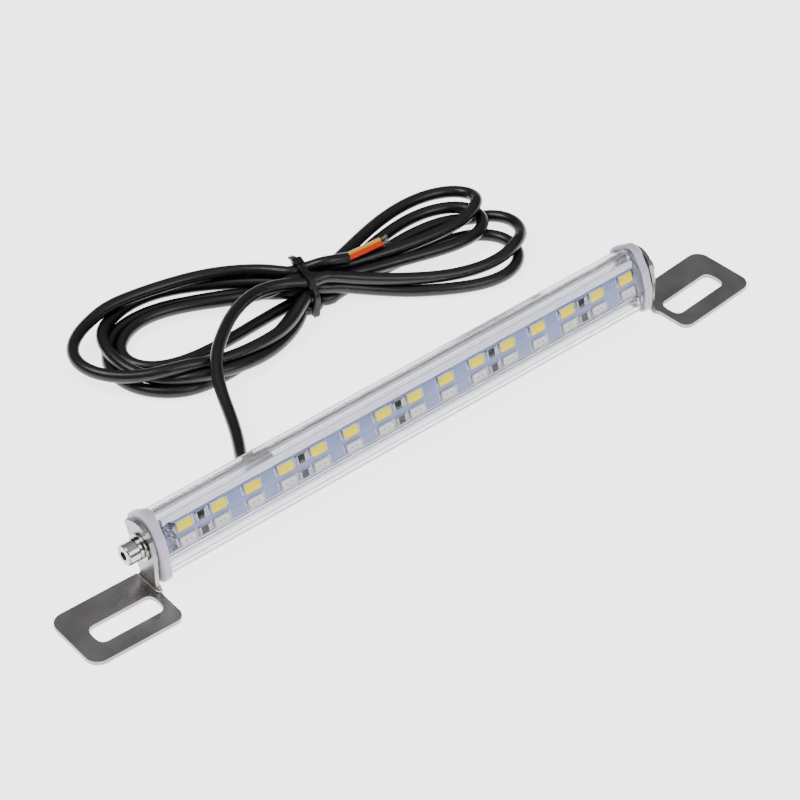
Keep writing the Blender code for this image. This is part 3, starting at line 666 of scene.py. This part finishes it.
# The LED's outline at each level from the board up: width, height, corner radius and level. The
# last step goes down from the rim to the window.
LED_LEVELS = (
    (4.90, 2.80, 0.30, -0.04),
    (4.90, 2.80, 0.30, -0.60),
    (4.80, 2.70, 0.28, -0.70),
    (4.68, 2.56, 0.55, -0.70),
    (4.58, 2.46, 0.52, -0.64),
)
LED_TERMINAL = (0.62, 0.30, 2.3)
DIE = (0.60, 0.03, 0.32)
DIE_WIRE = (0.06, 0.03, 0.9)

# Each box of a resistor: size, centre, material and bevel.
RESISTOR_BOXES = (
    ((3.1, 0.38, 2.3), (0, -0.25, 0), 2, 0.04),
    ((2.15, 0.10, 2.3), (0, -0.45, 0), 0, 0.03),
    ((0.52, 0.46, 2.36), (-1.38, -0.26, 0), 1, 0.06),
    ((0.45, 0.18, 2.20), (-1.80, -0.12, 0), 1, 0.07),
    ((0.52, 0.46, 2.36), (1.38, -0.26, 0), 1, 0.06),
    ((0.45, 0.18, 2.20), (1.80, -0.12, 0), 1, 0.07),
)

# On the board's face: a pad under each end of an LED, and a trace between LEDs with no resistor.
PAD = (0.75, 0.05, 2.7)
PAD_REACH = 2.95
LINK = (4.0, 0.03, 1.7)
# The long ones: size, centre and material. Middle trace, white margin, white edge, and a painted
# shadow strip along the board's lower edge.
LONG_BOXES = (
    ((163.0, 0.03, 0.55), (0.8, -0.01, -1.15), 0),
    # White margin and white edge in the print material, whose emission is a painted glow.
    ((164.2, 0.04, 1.66), (0.75, -0.01, 3.89), 2),
    ((164.2, 1.02, 0.06), (0.75, 0.48, 4.72), 2),
    # Painted shadow strip along the board's lower edge.
    ((164.2, 0.04, 0.42), (0.75, -0.01, -5.12), 3),
)
# Solder joints at the board's left end: where along and up the board, and radius.
SOLDER_JOINTS = ((-79.7, 2.1, 1.35), (-79.5, -0.9, 1.25), (-79.7, -3.9, 0.85))
INSIDE_WIRES = (("a", 2.5, "black"), ("b", -0.4, "yellow"), ("c", -3.3, "red"))
BARE_WIRE_RADIUS = 0.22
COVERED_WIRE_RADIUS = 0.55


def rounded_rectangle(width, height, radius):
    points = []
    for cx, cz, start in ((1, 1, 0), (-1, 1, 90), (-1, -1, 180), (1, -1, 270)):
        for k in range(5):
            angle = radians(start + 22.5 * k)
            points.append((cx * (width / 2 - radius) + radius * cos(angle),
                           cz * (height / 2 - radius) + radius * sin(angle)))
    return points


def led_mesh(name, window, has_dies):
    """One LED in millimetres, sitting on the board's face and facing -Y."""
    bm = bmesh.new()
    loops = []
    for width, height, radius, level in LED_LEVELS:
        loops.append([bm.verts.new((x * MM, level * MM, z * MM))
                      for x, z in rounded_rectangle(width, height, radius)])
    for lower, upper in zip(loops, loops[1:]):
        for k in range(len(lower)):
            n = (k + 1) % len(lower)
            bm.faces.new((lower[k], lower[n], upper[n], upper[k])).material_index = 0
    bm.faces.new(loops[-1]).material_index = 2
    bm.faces.new(loops[0][::-1]).material_index = 0
    for side in (-1, 1):
        add_box(bm, LED_TERMINAL, (side * 2.45, -0.17, 0), 1, 0.05)
    if has_dies:
        for x in (-0.8, 0.75):
            add_box(bm, DIE, (x, -0.64, 0.1), 3)
            add_box(bm, DIE_WIRE, (x + 0.5, -0.64, -0.2), 1)
    return to_mesh(name, bm, (M["led_body"], M["terminal"], window, M["die"]), 35)


def resistor_mesh():
    bm = bmesh.new()
    for size, centre, material, bevel in RESISTOR_BOXES:
        add_box(bm, size, centre, material, bevel)
    return to_mesh("resistor", bm, (M["chip"], M["tin"], M["ceramic"]))


def on_board(x=0.0, z=0.0):
    return BAR @ Matrix.Translation((x * MM, BOARD_FRONT * MM, z * MM))


def led_x(i):
    return ROW_X + (i - LED_COUNT // 2) * PITCH


def make_board_parts():
    white = led_mesh("white_led_mesh", M["phosphor"], False)
    red = led_mesh("red_led_mesh", M["gel"], True)
    for i in range(LED_COUNT):
        for kind, mesh, z in (("white", white, WHITE_Z), ("red", red, RED_Z)):
            led = add_piece(f"{kind}_chip_{i + 1:02d}", mesh, on_board(led_x(i), z))
            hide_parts(f"{kind}_led_{i + 1:02d}")
    mesh = resistor_mesh()
    for i, led in enumerate(RESISTOR_AFTER_LED):
        for k, z in ((i + 1, WHITE_Z), (i + 6, RED_Z)):
            part = add_piece(f"chip_resistor_{k:02d}", mesh, on_board(led_x(led + 0.5), z))
            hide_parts(f"resistor_{k:02d}")


def make_board_traces():
    bm = bmesh.new()
    for i in range(LED_COUNT):
        for z in (WHITE_Z, RED_Z):
            for side in (-1, 1):
                add_box(bm, PAD, (led_x(i) + side * PAD_REACH, -0.02, z), 1)
        if i < LED_COUNT - 1 and i not in RESISTOR_AFTER_LED:
            for z in (WHITE_Z, RED_Z):
                add_box(bm, LINK, (led_x(i) + PITCH / 2, -0.01, z), 0)
    for size, centre, material in LONG_BOXES:
        add_box(bm, size, centre, material)
    show("board_traces", bm, [M["trace"], M["tin"], M["silk"], M["painted_rail_shade"]], on_board())


def make_entry_seal():
    """Sealant over the grommet's inner end, behind the board."""
    bm = bmesh.new()
    add_dome(bm, 4.4, 3.4, (-45.2, 7.0, 1.7))
    show("entry_seal", bm, [M["sealant"]], on_board(), smooth=60)


def make_board_wires():
    """Solder joints at the board's left end, and the wires that turn back behind it."""
    bm = bmesh.new()
    for x, z, radius in SOLDER_JOINTS:
        add_dome(bm, radius, 0.62, (x, -0.05, z))
        add_dome(bm, radius * 0.45, 0.75, (x + 0.35, -0.35, z - 0.25))
    show("solder_joints", bm, [M["joint"]], on_board(), smooth=60)
    for name, z, cover in INSIDE_WIRES:
        local = np.array([(-79.9, -0.35, z), (-80.9, -0.55, z + 0.1), (-81.9, -0.1, z + 0.1),
                          (-82.3, 0.9, z * 0.8), (-81.9, 2.2, z * 0.6), (-79.5, 3.2, z * 0.5),
                          (-70.0, 3.6, z * 0.4)])
        for kind, points, radius, material in (
                ("bare", catmull(local[:3], 0.3), BARE_WIRE_RADIUS, M["tin"]),
                ("cover", catmull(local[2:], 0.6), COVERED_WIRE_RADIUS, M[cover])):
            world = [(on_board() @ Vector(point * MM)) / MM for point in points]
            add_tubes(f"inside_wire_{name}_{kind}", [world], radius, material, 3)


def make_cap_liners():
    """A milky disc inside each cap, over the end of the threaded insert."""
    for name, x in (("left", -84.15), ("right", 84.15)):
        bm = bmesh.new()
        bmesh.ops.create_cone(bm, cap_ends=True, segments=48, radius1=3.6 * MM, radius2=3.6 * MM,
                              depth=0.2 * MM)
        place = BAR @ Matrix.Translation((x * MM, 0, 0)) @ Matrix.Rotation(radians(90), 4, "Y")
        show(f"{name}_cap_liner", bm, [M["milky"]], place)


make_board_parts()
make_board_traces()
make_entry_seal()
make_board_wires()
make_cap_liners()


# ------------------------------------------------------------------ carried-over CAD nodes

def dress(name, material, width=None, segments=2):
    node = NODES[name]
    node.data.materials.clear()
    node.data.materials.append(material)
    if width:
        soften(node, width, segments)


dress("lens_tube", M["clear"])
dress("circuit_board", M["board"])
dress("cable_grommet", M["rubber"], 0.0001)
for side in ("left", "right"):
    dress(f"{side}_bracket", M["steel"], 0.00014, 3)
    dress(f"{side}_end_cap", M["milky"])
    dress(f"{side}_threaded_insert", M["brass"], 0.0001)
    dress(f"{side}_pivot_screw", M["bright"], 0.00012)
    dress(f"{side}_flat_washer", M["bright"], 0.00010)
    dress(f"{side}_spring_washer", M["bright"], 0.00010)


# ------------------------------------------------------------------ floor and light

FLOOR_HALF_SIZE = 3.0
FLOOR_HEIGHT = -0.0002
LAMP_AIM = (0, 0.03, 0.0)
# Each lamp: its name, place, size and power in watts.
LAMPS = (
    ("key", (-0.50, 0.30, 1.00), 0.50, 8.0),
    ("fill", (0.10, -0.75, 0.75), 0.60, 5.0),
)


def make_floor():
    bm = bmesh.new()
    bmesh.ops.create_grid(bm, x_segments=1, y_segments=1, size=FLOOR_HALF_SIZE)
    mesh = bpy.data.meshes.new("floor")
    bm.to_mesh(mesh)
    bm.free()
    floor = bpy.data.objects.new("floor", mesh)
    bpy.context.scene.collection.objects.link(floor)
    floor.location = (0, 0, FLOOR_HEIGHT)
    mesh.materials.append(make_material(
        "floor_white", (0.90, 0.90, 0.90), 0.9, Specular_IOR_Level=0.1, Emission_Strength=2.6,
        Emission_Color=(1, 1, 1, 1)))


def make_world():
    """Soft light that grows brighter overhead."""
    world = bpy.data.worlds.new("studio")
    world.use_nodes = True
    nodes = world.node_tree.nodes
    links = world.node_tree.links
    direction = nodes.new("ShaderNodeTexCoord")
    split = nodes.new("ShaderNodeSeparateXYZ")
    ramp = nodes.new("ShaderNodeValToRGB")
    low, high = ramp.color_ramp.elements
    low.position = 0.62
    low.color = (0.30, 0.30, 0.30, 1)
    high.position = 0.95
    high.color = (0.80, 0.80, 0.82, 1)
    links.new(direction.outputs["Generated"], split.inputs["Vector"])
    links.new(split.outputs["Z"], ramp.inputs["Fac"])
    links.new(ramp.outputs["Color"], nodes["Background"].inputs["Color"])
    bpy.context.scene.world = world


def make_lamps():
    for name, place, size, power in LAMPS:
        data = bpy.data.lights.new(name, "AREA")
        data.shape = "SQUARE"
        data.size = size
        data.energy = power
        lamp = bpy.data.objects.new(name, data)
        bpy.context.scene.collection.objects.link(lamp)
        lamp.location = place
        way = Vector(LAMP_AIM) - Vector(place)
        lamp.rotation_euler = way.to_track_quat("-Z", "Y").to_euler()


make_floor()
make_world()
make_lamps()
